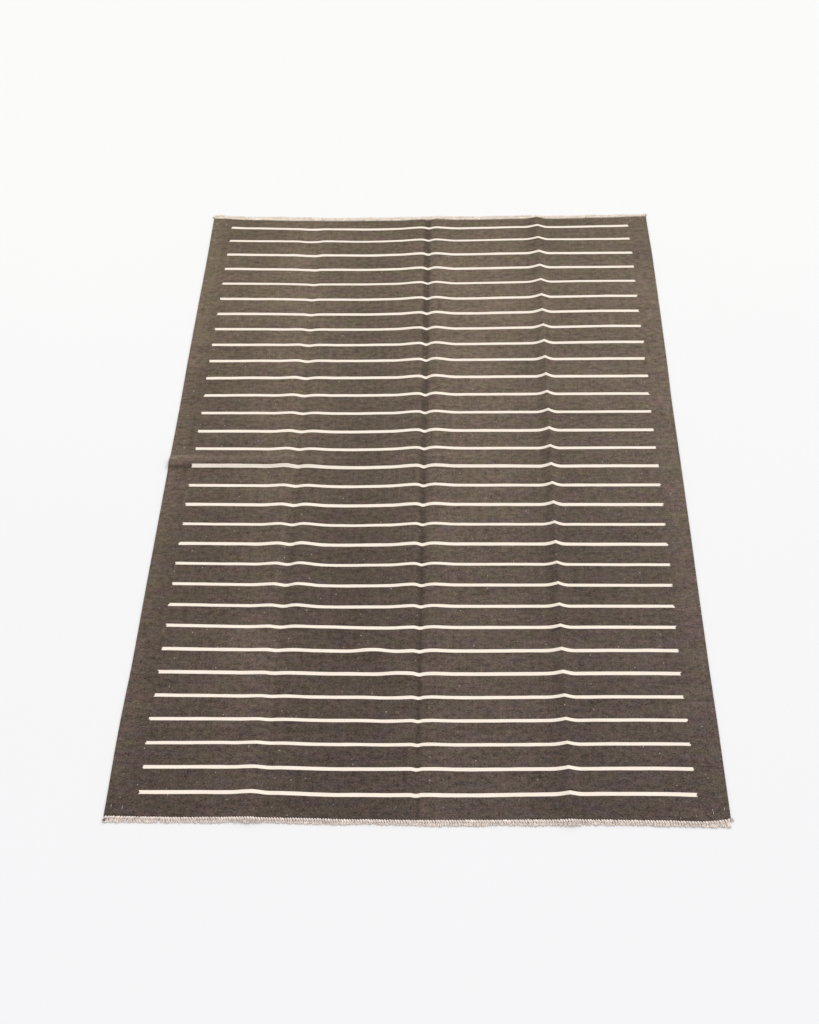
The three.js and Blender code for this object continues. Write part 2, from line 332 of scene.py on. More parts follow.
def swell(offset, before, after, pointed):
    """A swell's section: 1 at the crest and 0 from its feet outwards, round like a squared cosine or
    pointed like a tent with slightly hollow flanks, or something between the two."""
    reach = np.where(offset < 0, before, after)
    away = np.minimum(np.abs(offset) / reach, 1)
    round_section = np.cos(away * np.pi / 2) ** 2
    sharp_section = (1 - away) ** RIDGE_POWER
    return round_section * (1 - pointed) + sharp_section * pointed


def soft_spot(spot, x, y):
    """A spot's section: 1 at its middle and 0 past its reach, a round swell both ways."""
    share_x = swell(x - spot["x"], spot["reach_x"], spot["reach_x"], 0)
    return share_x * swell(y - spot["y"], spot["reach_y"], spot["reach_y"], 0)


def across_run(x):
    return (x + HALF_WIDTH) / CLOTH_WIDTH


def length_run(y):
    return (HALF_LENGTH - y) / CLOTH_LENGTH


def cloth_height(x, y):
    """Height of the cloth's underside above the floor: the sum of all swells, each its crest height along
    its run times its section, and the blisters, each a round swell both ways, sinking at the near end."""
    height = np.zeros(np.broadcast(x, y).shape)
    for crease in CREASES:
        lengthwise = crease["runs"] == "length"
        run = length_run(y) if lengthwise else across_run(x)
        offset = (x if lengthwise else y) - crease["at"] - crease["drift"] * run
        section = swell(offset, crease["before"], crease["after"], crease["pointed"])
        height = height + smooth_run(crease["rise"], run) * section
    for blister in BLISTERS:
        height = height + blister["rise"] * soft_spot(blister, x, y)
    settle = smooth_step(-y, HALF_LENGTH - NEAR_SETTLE["reach"], HALF_LENGTH)
    return np.maximum(height, 0) * (1 - NEAR_SETTLE["share"] * settle)


def drawn_in(x):
    """How far the near edge is drawn in at x: a parabola that rises to the right corner."""
    return DRAWN_CORNER["pull"] * np.maximum(0, 1 - (HALF_WIDTH - x) / DRAWN_CORNER["reach"]) ** 2


def lay_out(x, y):
    """Where a point of the plain rectangle lies once its ends and selvedges bow."""
    at_end = smooth_step(np.abs(y), HALF_LENGTH - END_BOW_REACH, HALF_LENGTH)
    near_bow = smooth_run(END_BOW["near"], across_run(x)) - drawn_in(x)
    bow = np.where(y > 0, smooth_run(END_BOW["far"], across_run(x)), near_bow)
    run = length_run(y)
    spread = np.where(x > 0, smooth_run(SELVEDGE_BOW["right"], run), smooth_run(SELVEDGE_BOW["left"], run))
    at_selvedge = (x / HALF_WIDTH) ** SELVEDGE_FADE
    return x + np.sign(x) * spread * at_selvedge, y + np.sign(y) * bow * at_end


def weft_sag(x, y):
    """How far the weft sags towards the near end: round swells across the rug, fading out at both ends."""
    sag = 0.0
    for row in WEFT_SAGS:
        section = swell(x - row["at"], row["before"], row["after"], 0)
        sag = sag + smooth_run(row["sag"], length_run(y)) * section
    fade = smooth_step(np.abs(y), HALF_LENGTH - SAG_FADE["starts"], HALF_LENGTH - SAG_FADE["ends"])
    return sag * (1 - fade)


def pucker(x, y):
    """Slight unevenness of a hand-woven surface: crossed waves of unrelated lengths, never below zero."""
    waves = (np.sin(x / 23 + 1.3 * np.sin(y / 61)) + np.sin(y / 17 + 1.1 * np.sin(x / 47))
             + np.sin((x + 0.7 * y) / 39 + 2) + np.sin((0.4 * x - y) / 29 + 4))
    return PUCKER * (1 + waves / 4)


def even_share(low, high, count, weight):
    """Count values from low to high, closer together where the weight is larger."""
    fine = np.linspace(low, high, SPACING_STEPS)
    total = np.concatenate(([0], np.cumsum((weight(fine)[1:] + weight(fine)[:-1]) / 2)))
    return np.interp(np.linspace(0, total[-1], count), total, fine)


# Mesh helpers

def mesh_piece(name, points, quads, material):
    """An object at the origin from arrays of points in mm and of four-cornered faces, shaded smooth."""
    mesh = bpy.data.meshes.new(name)
    mesh.vertices.add(len(points))
    mesh.vertices.foreach_set("co", (points * MM).astype(np.float32).ravel())
    mesh.loops.add(quads.size)
    mesh.loops.foreach_set("vertex_index", quads.astype(np.int32).ravel())
    mesh.polygons.add(len(quads))
    mesh.polygons.foreach_set("loop_start", np.arange(0, quads.size, 4, dtype=np.int32))
    mesh.polygons.foreach_set("use_smooth", np.ones(len(quads), bool))
    mesh.update(calc_edges=True)
    mesh.validate()
    mesh.materials.append(material)
    piece = bpy.data.objects.new(name, mesh)
    bpy.context.collection.objects.link(piece)
    return piece


def add_map(piece, name, corner_values):
    """A UV map from one pair of values for each corner of each face."""
    layer = piece.data.uv_layers.new(name=name, do_init=False)
    layer.uv.foreach_set("vector", corner_values.astype(np.float32).ravel())


def add_values(piece, name, values):
    """A named float for each point of the mesh."""
    attribute = piece.data.attributes.new(name, "FLOAT", "POINT")
    attribute.data.foreach_set("value", values.astype(np.float32).ravel())


def spread_map(piece, corner_values):
    """A second map that lays every face out once inside the unit square, for finishes baked to a picture."""
    add_map(piece, "OFBake", corner_values)
    piece.data.uv_layers["OFBake"].active_render = len(piece.data.uv_layers) == 1


def grid_quads(rows, columns, start=0):
    """Faces of a grid of points counted along its rows, turned to face up where rows run to +Y."""
    corner = start + np.arange((rows - 1) * columns).reshape(rows - 1, columns)[:, :-1]
    return np.stack([corner, corner + 1, corner + columns + 1, corner + columns], -1).reshape(-1, 4)


def grid_rim(rows, columns):
    """Point numbers round the edge of a grid, anticlockwise from its first corner."""
    numbers = np.arange(rows * columns).reshape(rows, columns)
    return np.concatenate([numbers[0, :-1], numbers[:-1, -1], numbers[-1, :0:-1], numbers[:0:-1, 0]])


def ring_quads(lower, upper):
    """Faces between two closed rings of as many points, facing out where the rings run anticlockwise."""
    return np.stack([lower, np.roll(lower, -1), np.roll(upper, -1), upper], -1)


# Cloth

def stripe_centres():
    """Distance of each stripe's middle line along the rug, from the far stripe to the near one."""
    steps = np.concatenate([np.full(run["gaps"], run["pitch"]) for run in STRIPE_RUNS])
    return HALF_LENGTH - FIRST_STRIPE - np.concatenate(([0], np.cumsum(steps)))


def stripe_run(y):
    """Counts stripes along the rug: whole numbers on the stripes' middle lines, half way between them, and
    no further than half a step past the first and the last."""
    centres = stripe_centres()
    half = STRIPE_PITCH / 2
    places = np.concatenate(([centres[0] + half], centres, [centres[-1] - half]))
    counts = np.concatenate(([-0.5], np.arange(len(centres)), [len(centres) - 0.5]))
    return np.interp(-y, -places, counts)


def cloth_tone(x, y):
    """Tone of the cloth: smooth runs between the panels' tones and along its length, which are partly painted
    light, shade and sheen, darker or paler along the fold lines, which are partly wear and partly painted
    shade and highlight, and in the worn and dyed soft spots, each a round swell both ways."""
    places = np.array([row["x"] for row in PANEL_TONES], float)
    tones = np.array([row["tone"] for row in PANEL_TONES])
    index = np.clip(np.searchsorted(places, x) - 1, 0, len(places) - 2)
    blend = smooth_step(x, places[index], places[index + 1])
    tone = (tones[index] * (1 - blend) + tones[index + 1] * blend) * smooth_run(LENGTH_TONES, length_run(y))
    for line in FOLD_WEAR_AND_SHADE:
        lengthwise = line["runs"] == "length"
        run = length_run(y) if lengthwise else across_run(x)
        offset = ((x if lengthwise else y) - line["at"] - line["drift"] * run) / line["width"]
        tone = tone * (1 - smooth_run(line["darker"], run) * np.exp(-offset ** 4))
    for spot in WEAR_SPOTS:
        tone = tone * (1 + spot["paler"] * soft_spot(spot, x, y))
    return tone


def column_weight(x):
    """Mesh columns crowd together on the creases and at the selvedges."""
    edge_share = np.exp(-(HALF_WIDTH - np.abs(x)) / EDGE_CROWDING["column_reach"])
    weight = 1 + EDGE_CROWDING["columns"] * edge_share
    for crease in CREASES:
        if crease["runs"] == "length":
            off_crest = np.abs(x - crease["at"] - crease["drift"] / 2)
            near = off_crest < crease["before"] + CREASE_CROWDING["margin"]
            weight = weight + CREASE_CROWDING["columns"] * near
    return weight


def row_weight(y):
    """Mesh rows crowd together on the cross fold and at both ends."""
    edge_share = np.exp(-(HALF_LENGTH - np.abs(y)) / EDGE_CROWDING["row_reach"])
    near = np.abs(y - CREASE_CROWDING["row_at"]) < CREASE_CROWDING["row_reach"]
    return 1 + CREASE_CROWDING["rows"] * near + EDGE_CROWDING["rows"] * edge_share


# Places on the cloth's spread map: the top, the underside at half its size, and four strips for the rim
TOP_PLACE = dict(u=0.005, v=0.005, width=0.655, height=0.985)
UNDER_PLACE = dict(u=0.668, v=0.005, width=0.325, height=0.490)
RIM_PLACE = dict(u=0.668, v=0.51, width=0.325, strip=0.03, pitch=0.10)


def laid_in(place, s, t):
    """Points of the plain rectangle in one place of the spread map."""
    u = place["u"] + place["width"] * across_run(s)
    return np.stack([u, place["v"] + place["height"] * (1 - length_run(t))], -1)


def rim_spread(level):
    """Corners of one ring of rim faces on the spread map: each of the rug's four sides is a strip of its own,
    with its faces evenly spaced along it. Level 1 is the upper ring and 0 the lower."""
    counts = np.array([COLUMNS - 1, ROWS - 1, COLUMNS - 1, ROWS - 1])
    side = np.repeat(np.arange(4), counts)
    place = np.arange(counts.sum()) - np.repeat(np.cumsum(counts) - counts, counts)
    start = RIM_PLACE["u"] + RIM_PLACE["width"] * place / counts[side]
    end = RIM_PLACE["u"] + RIM_PLACE["width"] * (place + 1) / counts[side]
    low = RIM_PLACE["v"] + RIM_PLACE["pitch"] * side + RIM_PLACE["strip"] * level
    high = low + RIM_PLACE["strip"]
    corners = np.stack([start, low, end, low, end, high, start, high], -1)
    return corners.reshape(-1, 4, 2)


def make_cloth(material):
    """The cloth as a closed thin sheet: a grid over the plain rectangle, laid out and lifted by the shape
    formulas above, its underside the same grid lower down, and a rounded rim between them."""
    across = even_share(-HALF_WIDTH, HALF_WIDTH, COLUMNS, column_weight)
    along = even_share(-HALF_LENGTH, HALF_LENGTH, ROWS, row_weight)
    s, t = np.meshgrid(across, along)
    x, y = lay_out(s, t)
    y = y - weft_sag(s, t)
    base = cloth_height(s, t)
    from_edge = HALF_WIDTH - np.abs(s)
    off_cord = (from_edge - SELVEDGE_CORD["at"]) / SELVEDGE_CORD["width"]
    cord = SELVEDGE_CORD["rise"] * np.exp(-off_cord ** 2)
    top = np.stack([x, y, base + CLOTH_THICKNESS + pucker(s, t) + cord], -1).reshape(-1, 3)
    under = np.stack([x, y, base], -1).reshape(-1, 3)
    rim = grid_rim(ROWS, COLUMNS)
    side_out = np.sign(s) * (from_edge < ON_EDGE)
    end_out = np.sign(t) * (HALF_LENGTH - np.abs(t) < ON_EDGE)
    outward = np.stack([side_out, end_out], -1)
    middle = (top[rim] + under[rim]) / 2
    middle[:, :2] += RIM_BULGE * outward.reshape(-1, 2)[rim]
    count = ROWS * COLUMNS
    middle_numbers = 2 * count + np.arange(len(rim))
    top_quads = grid_quads(ROWS, COLUMNS)
    quads = np.concatenate([
        top_quads,
        grid_quads(ROWS, COLUMNS, count)[:, ::-1],
        ring_quads(middle_numbers, rim),
        ring_quads(rim + count, middle_numbers),
    ])
    points = np.concatenate([top, under, middle])
    piece = mesh_piece("kilim_weave", points, quads, material)
    flat = np.stack([s, t], -1).reshape(-1, 2)
    flat = np.concatenate([flat, flat, flat[rim]])
    add_map(piece, "weave", flat[quads] * MM)
    top_spread = laid_in(TOP_PLACE, s, t).reshape(-1, 2)[top_quads]
    under_spread = laid_in(UNDER_PLACE, s, t).reshape(-1, 2)[top_quads[:, ::-1]]
    spread_map(piece, np.concatenate([top_spread, under_spread, rim_spread(1), rim_spread(0)]))
    add_values(piece, "stripe_run", stripe_run(flat[:, 1]))
    run = length_run(flat[:, 1])
    add_values(piece, "from_left", flat[:, 0] - smooth_run(STRIPE_ENDS["left"], run))
    add_values(piece, "from_right", smooth_run(STRIPE_ENDS["right"], run) - flat[:, 0])
    add_values(piece, "tone", cloth_tone(flat[:, 0], flat[:, 1]))
    return piece


# Fringe

def cap_corners(sides):
    """Four-cornered faces that close a ring of so many points."""
    half = np.arange(sides // 2 - 1)
    return np.stack([half, half + 1, sides - 2 - half, sides - 1 - half], -1)


def tubes(paths, radii, sides):
    """Closed tubes: a round section of so many sides carried along each path, with its own radius at each
    step. paths holds tubes by steps by 3, radii tubes by steps. The first side is the lowest."""
    tangent = np.gradient(paths, axis=1)
    tangent /= np.linalg.norm(tangent, axis=2, keepdims=True)
    level = np.cross(tangent, np.array([0.0, 0.0, 1.0]))
    level /= np.linalg.norm(level, axis=2, keepdims=True)
    lift = np.cross(level, tangent)
    angle = 2 * np.pi * np.arange(sides) / sides - np.pi / 2
    ring = np.cos(angle)[:, None] * level[:, :, None] + np.sin(angle)[:, None] * lift[:, :, None]
    points = paths[:, :, None] + radii[:, :, None, None] * ring
    count, steps = radii.shape
    numbers = np.arange(count * steps * sides).reshape(count, steps, sides)
    following = np.roll(numbers, -1, axis=2)
    walls = np.stack([numbers[:, :-1], following[:, :-1], following[:, 1:], numbers[:, 1:]], -1)
    cap = cap_corners(sides)
    starts = numbers[:, 0][:, cap][..., ::-1]
    ends = numbers[:, -1][:, cap]
    quads = np.concatenate([walls.reshape(-1, 4), starts.reshape(-1, 4), ends.reshape(-1, 4)])
    return points.reshape(-1, 3), quads


# Where a tube's wall and its two end caps lie in the tube's own cell of the spread map
WALL_PLACE = dict(u=0.06, v=0.26, width=0.88, height=0.68)
CAP_PLACES = (dict(u=0.27, v=0.12), dict(u=0.73, v=0.12))
CAP_REACH = dict(u=0.19, v=0.08)


def tube_spread(first, cells, count, steps, sides):
    """Corners of a group of tubes on the spread map, which is a grid with so many cells each way: each tube
    has a cell to itself, counted from the first, with its wall unrolled and its caps as flat ovals."""
    step, side = np.meshgrid(np.arange(steps - 1), np.arange(sides), indexing="ij")
    around = np.stack([side, side + 1, side + 1, side], -1) / sides
    onward = np.stack([step, step, step + 1, step + 1], -1) / (steps - 1)
    wall = np.stack([WALL_PLACE["u"] + WALL_PLACE["width"] * around,
                     WALL_PLACE["v"] + WALL_PLACE["height"] * onward], -1).reshape(-1, 4, 2)
    angle = 2 * np.pi * cap_corners(sides) / sides
    caps = [np.stack([place["u"] + CAP_REACH["u"] * np.cos(angle),
                      place["v"] + CAP_REACH["v"] * np.sin(angle)], -1) for place in CAP_PLACES]
    cell = first + np.arange(count)
    corner = np.stack([cell % cells, cell // cells], -1)[:, None, None]
    parts = [(corner + part).reshape(-1, 4, 2) / cells for part in (wall, caps[0][:, ::-1], caps[1])]
    return np.concatenate(parts)


def joined_tubes(name, groups, material):
    """One piece from several groups of tubes, with each tube's shade and share of brown, and the place
    around and along it, as named values."""
    cells = math.ceil(math.sqrt(sum(len(group["radii"]) for group in groups)))
    first = 0
    points = []
    quads = []
    spread = []
    values = {"shade": [], "brown": [], "around": [], "onward": []}
    start = 0
    for group in groups:
        group_points, group_quads = tubes(group["paths"], group["radii"], group["sides"])
        count, steps = group["radii"].shape
        sides = group["sides"]
        points.append(group_points)
        quads.append(group_quads + start)
        spread.append(tube_spread(first, cells, count, steps, sides))
        start += len(group_points)
        first += count
        values["shade"].append(np.repeat(group["shade"], steps * sides))
        values["brown"].append(np.repeat(group["brown"], steps * sides))
        values["around"].append(np.tile(np.arange(sides) / sides, count * steps))
        values["onward"].append(np.tile(np.repeat(np.linspace(0, 1, steps), sides), count))
    piece = mesh_piece(name, np.concatenate(points), np.concatenate(quads), material)
    for value_name, parts in values.items():
        add_values(piece, value_name, np.concatenate(parts))
    spread_map(piece, np.concatenate(spread))
    return piece


def edge_points(side, x):
    """Points of the cloth's end edge at x, with the height of its underside there."""
    end = np.full_like(x, side * HALF_LENGTH)
    edge_x, edge_y = lay_out(x, end)
    return edge_x, edge_y, cloth_height(x, end)


def knot_row(end, side, chance):
    """The knots: fat tubes that start at the cloth's edge, slant outwards, swell and bow up a little."""
    count = int(CLOTH_WIDTH / KNOT_PITCH)
    half_row = HALF_WIDTH - FRINGE_INSET
    even_places = -half_row + (np.arange(count) + 0.5) * 2 * half_row / count
    x = even_places + chance.normal(0, KNOT_CHANCE["place"], count)
    edge_x, edge_y, edge_z = edge_points(side, x)
    slant = KNOT_SLANT + SLANT_WAVE["size"] * np.sin(x / SLANT_WAVE["length"])
    slant = slant + chance.normal(0, KNOT_CHANCE["slant"], count)
    slant = np.where(x < SLANT_TURNS, -slant, slant)
    at_corner = np.abs(x) > HALF_WIDTH - CORNER_SLANT["reach"]
    slant = np.where(at_corner, CORNER_SLANT["share"] * slant, slant)
    u = np.linspace(0, 1, KNOT_STEPS)
    reach = KNOT_REACH + chance.normal(0, KNOT_CHANCE["reach"], count)
    size = KNOT_RADIUS * (1 + chance.normal(0, KNOT_CHANCE["size"], count))
    wave = np.sin(np.pi * (KNOT_SECTION["cut"] + (1 - 2 * KNOT_SECTION["cut"]) * u))
    swelling = KNOT_SECTION["least"] + (1 - KNOT_SECTION["least"]) * wave ** KNOT_SECTION["blunt"]
    radii = size[:, None] * swelling
    paths = np.stack([
        edge_x[:, None] + slant[:, None] * (2 * u - 1),
        edge_y[:, None] + side * (PIECE_GAP + radii[:, :1] * KNOT_START + reach[:, None] * u),
        edge_z[:, None] * (1 - KNOT_SINK * u) + radii + KNOT_ARCH * np.sin(np.pi * u),
    ], -1)
    shade = chance.normal(KNOT_PAINTED_LIGHT[end], KNOT_CHANCE["shade"], count)
    return dict(paths=paths, radii=radii, sides=KNOT_SIDES, shade=shade, brown=np.zeros(count),
                slant=slant, ground=edge_z)


def strand_spray(end, side, chance, knots):
    """The cut ends: from under each knot a spray of thin strands that fan out to fill the row, lie in
    layers on the floor and end unevenly."""
    count = len(knots["slant"])
    total = count * STRANDS_PER_KNOT

    def each(values):
        return np.repeat(values, STRANDS_PER_KNOT, axis=0)

    root = each(knots["paths"][:, ROOT_STEP])
    even_fan = np.tile(np.linspace(-1, 1, STRANDS_PER_KNOT), count)
    fan = even_fan + chance.normal(0, STRAND_CHANCE["fan"], total)
    knot_lean = LEAN_SHARE * knots["slant"] + chance.normal(0, SPRAY_CHANCE["lean"], count)
    lean = each(knot_lean) + chance.normal(0, STRAND_CHANCE["lean"], total)
    slow = np.sin(root[:, 0] / CUT_WAVE_LENGTHS[0]) + np.sin(root[:, 0] / CUT_WAVE_LENGTHS[1] + side)
    level = drawn_in(root[:, 0]) if end == "near" else 0.0
    reach = smooth_run(FRINGE_REACH[end], across_run(root[:, 0]))
    length = reach - KNOT_REACH + level + slow + each(chance.normal(0, SPRAY_CHANCE["length"], count))
    length = np.maximum(length + FRINGE_UNEVEN * chance.uniform(-1, 1, total), SHORTEST_STRAND)
    layer = chance.uniform(0, 1, total) * LAYER_HEIGHT
    bend = chance.normal(0, STRAND_CHANCE["bend"], total)
    v = np.linspace(0, 1, STRAND_STEPS)
    thin = STRAND_RADIUS * (1 + chance.normal(0, STRAND_CHANCE["size"], total))
    shade = chance.normal(STRAND_PAINTED_LIGHT[end], STRAND_CHANCE["shade"], total)
    shade = shade + each(chance.normal(0, SPRAY_CHANCE["shade"], count))
    radii = thin[:, None] * (1 - STRAND_FALL["radius"] * v ** 2)
    sideways = fan[:, None] * (FAN_WIDTH["root"] + FAN_WIDTH["further"] * v)
    sideways = sideways + lean[:, None] * v + bend[:, None] * np.sin(np.pi * v)
    height = FLOOR_GAP + ROOT_LIFT * (1 - v) + layer[:, None] * (1 - STRAND_FALL["layer"] * v)
    ground = each(knots["ground"])[:, None] * (1 - KNOT_SINK - STRAND_FALL["ground"] * v)
    paths = np.stack([
        root[:, :1] + sideways,
        root[:, 1:2] + side * (length[:, None] * v - ROOT_BACK * (1 - v)),
        ground + radii + height,
    ], -1)
    return dict(paths=paths, radii=radii, sides=STRAND_SIDES, shade=shade, brown=np.zeros(total))


def corner_tufts(end, side, chance):
    """Loose strands that stick out of the corners, straight and thin, coming down to the floor."""
    rows = [tuft for tuft in CORNER_TUFTS if tuft["end"] == end]

    def each(name):
        return np.concatenate([np.full(tuft["strands"], float(tuft[name])) for tuft in rows])

    corner = each("corner")
    total = len(corner)
    edge_x, edge_y, edge_z = edge_points(side, corner * (HALF_WIDTH - each("inset")))
    angle = np.radians(each("turn") + chance.normal(0, TUFT_CHANCE["turn"], total))
    reach = each("reach") * chance.uniform(TUFT_STRAND["shortest"], 1, total)
    v = np.linspace(0, 1, STRAND_STEPS)
    radii = TUFT_STRAND["radius"] * (1 - TUFT_STRAND["taper"] * v) * np.ones((total, 1))
    out = reach[:, None] * v
    root_x = edge_x + chance.normal(0, TUFT_CHANCE["across"], total)
    root_y = edge_y + side * each("start") + chance.normal(0, TUFT_CHANCE["along"], total)
    lift = each("lift") + chance.uniform(0, LAYER_HEIGHT, total)
    paths = np.stack([
        root_x[:, None] + (corner * np.sin(angle))[:, None] * out,
        root_y[:, None] + (side * np.cos(angle))[:, None] * out,
        edge_z[:, None] + radii + FLOOR_GAP + lift[:, None] * (1 - TUFT_STRAND["fall"] * v),
    ], -1)
    brown = np.clip(each("brown") * chance.uniform(*TUFT_STRAND["brown"], total), 0, 1)
    shade = chance.normal(TUFT_STRAND["shade"], TUFT_CHANCE["shade"], total)
    return dict(paths=paths, radii=radii, sides=STRAND_SIDES, shade=shade, brown=brown)


def stitches(end, side, chance):
    """Short thread ends that lie on top of the cloth, along it."""
    rows = [stitch for stitch in STITCHES if stitch["end"] == end]
    total = len(rows)
    x = np.array([stitch["x"] for stitch in rows], float)
    y = side * (HALF_LENGTH - np.array([stitch["inward"] for stitch in rows], float))
    laid_x, laid_y = lay_out(x, y)
    length = np.array([stitch["length"] for stitch in rows], float)
    v = np.linspace(0, 1, STRAND_STEPS)
    radii = np.full((total, STRAND_STEPS), STITCH_THREAD["radius"])
    sway = chance.normal(0, STITCH_THREAD["sway"], total)
    height = cloth_height(x, y) + CLOTH_THICKNESS + 2 * PUCKER + STITCH_THREAD["lift"]
    paths = np.stack([
        laid_x[:, None] + sway[:, None] * v,
        laid_y[:, None] + length[:, None] * (v - 0.5),
        np.repeat(height[:, None], STRAND_STEPS, axis=1),
    ], -1)
    shade = np.full(total, STITCH_THREAD["shade"])
    return dict(paths=paths, radii=radii, sides=STRAND_SIDES, shade=shade, brown=np.zeros(total))


def make_fringe(end, side, material):
    """One end's whole fringe as one piece."""
    chance = np.random.default_rng(FRINGE_SEEDS[end])
    knots = knot_row(end, side, chance)
    groups = [knots, strand_spray(end, side, chance, knots), corner_tufts(end, side, chance),
              stitches(end, side, chance)]
    return joined_tubes(end + "_fringe_yarn", groups, material)


# Materials

class Finish:
    """A material with one Principled shader, and short calls that add and join its nodes."""

    def __init__(self, name):
        self.material = bpy.data.materials.new(name)
        self.material.use_nodes = True
        self.tree = self.material.node_tree
        self.tree.nodes.clear()
        self.shader = self.tree.nodes.new("ShaderNodeBsdfPrincipled")
        output = self.tree.nodes.new("ShaderNodeOutputMaterial")
        self.tree.links.new(self.shader.outputs["BSDF"], output.inputs["Surface"])

    def feed(self, socket, value):
        """Join a socket to another, or set its own value."""
        if isinstance(value, bpy.types.NodeSocket):
            self.tree.links.new(value, socket)
        else:
            socket.default_value = value

    def node(self, kind, inputs=None, **settings):
        made = self.tree.nodes.new(kind)
        for name, value in settings.items():
            setattr(made, name, value)
        for name, value in (inputs or {}).items():
            self.feed(made.inputs[name], value)
        return made

    def math(self, operation, *values):
        made = self.node("ShaderNodeMath", operation=operation)
        for socket, value in zip(made.inputs, values):
            self.feed(socket, value)
        return made.outputs[0]

    def values(self, name):
        """The mesh's named float."""
        return self.node("ShaderNodeAttribute", attribute_name=name).outputs["Fac"]

    def noise(self, place, stretch, detail=2.0, roughness=0.5, offset=(0, 0, 0)):
        """Soft noise on a place in metres, its grain this many metres long each way."""
        scale = tuple(1 / size for size in stretch)
        moved = self.node("ShaderNodeMapping", {"Vector": place, "Scale": scale, "Location": offset})
        sockets = {"Vector": moved.outputs[0], "Scale": 1.0, "Detail": detail, "Roughness": roughness}
        return self.node("ShaderNodeTexNoise", sockets).outputs["Fac"]

    def between(self, value, low, high, start=0.0, end=1.0, smooth=True):
        """Maps low to high onto start to end, kept within them."""
        kind = "SMOOTHSTEP" if smooth else "LINEAR"
        made = self.node("ShaderNodeMapRange", interpolation_type=kind)
        for name, number in (("Value", value), ("From Min", low), ("From Max", high),
                             ("To Min", start), ("To Max", end)):
            self.feed(made.inputs[name], number)
        return made.outputs[0]

    def either_way(self, share, amount, middle=0.0):
        """A share from 0 to 1 as a value up to so much below or above a middle one."""
        return self.math("MULTIPLY_ADD", share, 2 * amount, middle - amount)

    def mix(self, share, first, second, blend="MIX"):
        """Mixes two colours."""
        made = self.node("ShaderNodeMix", data_type="RGBA", blend_type=blend)
        self.feed(made.inputs[0], share)
        self.feed(made.inputs[6], first)
        self.feed(made.inputs[7], second)
        return made.outputs[2]

    def relief(self, height, row):
        """Bump from a height, with the row's strength and depth in metres."""
        bump = self.node("ShaderNodeBump",
                         {"Height": height, "Strength": row["strength"], "Distance": row["depth"]})
        self.feed(self.shader.inputs["Normal"], bump.outputs[0])

    def scaled(self, colour, factor):
        """A colour times a number."""
        made = self.node("ShaderNodeVectorMath", operation="SCALE")
        self.feed(made.inputs[0], colour[:3] if isinstance(colour, tuple) else colour)
        self.feed(made.inputs["Scale"], factor)
        return made.outputs[0]


# Colours, linear
FAR_BROWN = (0.1070, 0.0820, 0.0575, 1)
NEAR_BROWN = (0.1095, 0.0805, 0.0655, 1)
PLUM_SHIFT = (1.04, 0.96, 1.05, 1)
OLIVE_SHIFT = (0.98, 1.025, 0.94, 1)
SLATE_SHIFT = (0.94, 0.985, 1.10, 1)
NO_SHIFT = (1, 1, 1, 1)
LEFT_SHIFT = (1.0, 1.0, 0.962, 1)
RIGHT_SHIFT = (0.99, 1.0, 1.005, 1)
IVORY = (0.83, 0.74, 0.645, 1)
PALE_FLECK = (0.42, 0.38, 0.32, 1)
NEAR_ECRU = (0.80, 0.708, 0.645, 1)
FAR_ECRU = (0.80, 0.71, 0.605, 1)
ECRU_SHADE = (0.63, 0.53, 0.465, 1)
TUFT_BROWN = (0.20, 0.15, 0.12, 1)
FAR_FLOOR = (0.775, 0.778, 0.768, 1)
NEAR_FLOOR = (0.742, 0.738, 0.750, 1)
WOOL_SHEEN = (1.0, 0.88, 0.72, 1)

# Ivory stripes: how far they sway and over how many metres, how much wider or narrower a stripe is along its
# run and by chance, the height of one pick of weft at its ends and how far it strays, and soft borders
STRIPE_EDGE = dict(sway=1.5, sway_length=0.14, widens=1.0, widens_length=0.07, widens_by_chance=0.6,
                   pick=3.2, pick_stray=3.0, soft_edge=0.7, soft_end=1.0)
# Grain of the brown yarn, a row for each kind: its length and breadth in metres, how strongly it shows at
# the near end and at the far end, and where in the noise it starts
GRAINS = (
    dict(name="heather", size=(0.0064, 0.005, 1), near=3.0, far=1.15, detail=3, rough=0.65, start=(0, 0, 0)),
    dict(name="clump", size=(0.023, 0.0155, 1), near=1.35, far=1.3, detail=2, rough=0.5, start=(9, 4, 0)),
    dict(name="streak", size=(0.090, 0.0075, 1), near=0.5, far=0.6, detail=2, rough=0.5, start=(3, 11, 0)),
    dict(name="patch", size=(0.17, 0.075, 1), near=0.50, far=0.45, detail=2, rough=0.5, start=(1, 8, 0)),
    dict(name="band", size=(1.3, 0.035, 1), near=0.30, far=0.30, detail=3, rough=0.5, start=(0, 5, 0)),
    dict(name="rib", size=(0.0085, 0.25, 1), near=0.35, far=0.25, detail=1, rough=0.5, start=(0, 2, 0)),
)
# Blotches of another dye, a row for each: size in metres, start, the noise where it begins and is full
BLOTCHES = (
    dict(size=(0.10, 0.045, 1), start=(0, 0, 0), begins=0.46, full=0.62, shift=PLUM_SHIFT),
    dict(size=(0.13, 0.040, 1), start=(7, 3, 0), begins=0.46, full=0.62, shift=OLIVE_SHIFT),
)
SLATE_BLOTCH = dict(size=(0.075, 0.034, 1), start=(2, 14, 0), begins=0.50, full=0.66, shift=SLATE_SHIFT)
SLATE_FAR_SHARE = 0.4
DARKEST_TONE = 0.25
# Pale flecks: cells for each metre across and along, how rare they are, and their edge in cells
FLECKS = dict(cells=(20, 17, 1), rare=0.60, rarest=1.12, edge=0.056, core=0.018)
# How strongly the streaks show on the ivory
IVORY_STREAK = 0.16
# Relief of the weave: spacing of weft and warp in metres, the shares of its parts, and its depth in metres
WEFT_PITCH = 0.0026
WARP_PITCH = 0.0043
WEAVE_RELIEF = dict(weft=0.5, warp=0.5, heather=1.4, strength=0.55, depth=0.0006)
